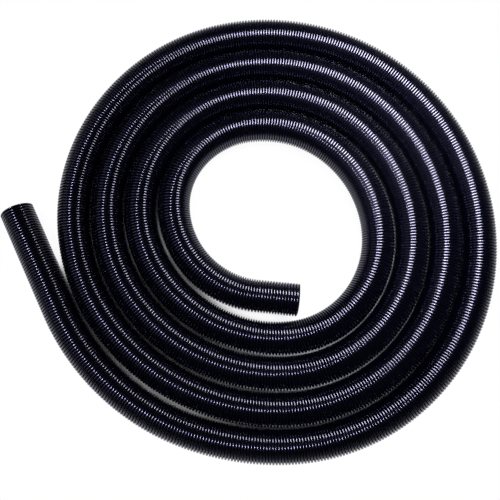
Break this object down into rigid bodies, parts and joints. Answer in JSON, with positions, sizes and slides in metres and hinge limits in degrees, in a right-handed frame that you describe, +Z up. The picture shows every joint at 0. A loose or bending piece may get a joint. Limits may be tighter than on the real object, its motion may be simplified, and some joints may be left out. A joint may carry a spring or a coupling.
{
  "type": "vacuum hose",
  "caption": "Long black corrugated vacuum hose with two bare cut ends, lying as a flat coil, with bores to push fittings into and ends that flex.",
  "frame": {"origin": "on the floor under the middle of the coil's box", "axes": "+Z up, +X to the right and +Y away from a viewer who sees the outer end at the left and the inner end at the near side of the middle"},
  "size_m": [0.7186, 0.6551, 0.0472],
  "materials": {
    "hose_cover": "glossy black moulded EVA with a faint blue-violet cast, ribbed all over",
    "hose_liner": "smooth dull black EVA, as wound on a mandrel"
  },
  "bodies": {
    "coil": {"liner_inner_flex": "hose_liner", "liner_turn_1_upper_left": "hose_liner", "liner_turn_1_upper_right": "hose_liner", "liner_turn_1_lower_right": "hose_liner", "liner_turn_1_lower_left": "hose_liner", "liner_turn_2_upper_left": "hose_liner", "liner_turn_2_upper_right": "hose_liner", "liner_turn_2_lower_right": "hose_liner", "liner_turn_2_lower_left": "hose_liner", "liner_turn_3_upper_left": "hose_liner", "liner_turn_3_upper_right": "hose_liner", "liner_turn_3_lower_right": "hose_liner", "liner_turn_3_lower_left": "hose_liner", "liner_turn_4_upper_left": "hose_liner", "liner_turn_4_upper_right": "hose_liner", "liner_turn_4_lower_right": "hose_liner", "liner_swing_flex": "hose_liner", "ribs_inner_flex": "hose_cover", "ribs_turn_1_upper_left": "hose_cover", "ribs_turn_1_upper_right": "hose_cover", "ribs_turn_1_lower_right": "hose_cover", "ribs_turn_1_lower_left": "hose_cover", "ribs_turn_2_upper_left": "hose_cover", "ribs_turn_2_upper_right": "hose_cover", "ribs_turn_2_lower_right": "hose_cover", "ribs_turn_2_lower_left": "hose_cover", "ribs_turn_3_upper_left": "hose_cover", "ribs_turn_3_upper_right": "hose_cover", "ribs_turn_3_lower_right": "hose_cover", "ribs_turn_3_lower_left": "hose_cover", "ribs_turn_4_upper_left": "hose_cover", "ribs_turn_4_upper_right": "hose_cover", "ribs_turn_4_lower_right": "hose_cover", "ribs_swing_flex": "hose_cover"},
    "inner_end": {"liner_inner_end": "hose_liner", "ribs_inner_end": "hose_cover"},
    "tail": {"liner_tail": "hose_liner", "liner_lift_flex": "hose_liner", "ribs_tail": "hose_cover", "ribs_lift_flex": "hose_cover"},
    "outer_end": {"liner_outer_end": "hose_liner", "ribs_outer_end": "hose_cover"}
  },
  "joints": [
    {"name": "inner_end_lift", "type": "hinge", "parent": "coil", "child": "inner_end", "pos_m": [-0.06634, -0.06114, 0.0236], "axis": [-0.2947, -0.9556, 0], "range_deg": [0, 40], "stiffness_Nm_per_rad": 0.3, "deforming": ["liner_inner_flex", "ribs_inner_flex"]},
    {"name": "tail_swing", "type": "hinge", "parent": "coil", "child": "tail", "pos_m": [0.00085, -0.30235, 0.0236], "axis": [0, 0, 1], "range_deg": [0, 50], "stiffness_Nm_per_rad": 0.3, "deforming": ["liner_swing_flex", "ribs_swing_flex"]},
    {"name": "outer_end_lift", "type": "hinge", "parent": "tail", "child": "outer_end", "pos_m": [-0.23493, -0.1703, 0.0236], "axis": [0.8949, 0.4462, 0], "range_deg": [0, 45], "stiffness_Nm_per_rad": 0.3, "deforming": ["liner_lift_flex", "ribs_lift_flex"]}
  ]
}
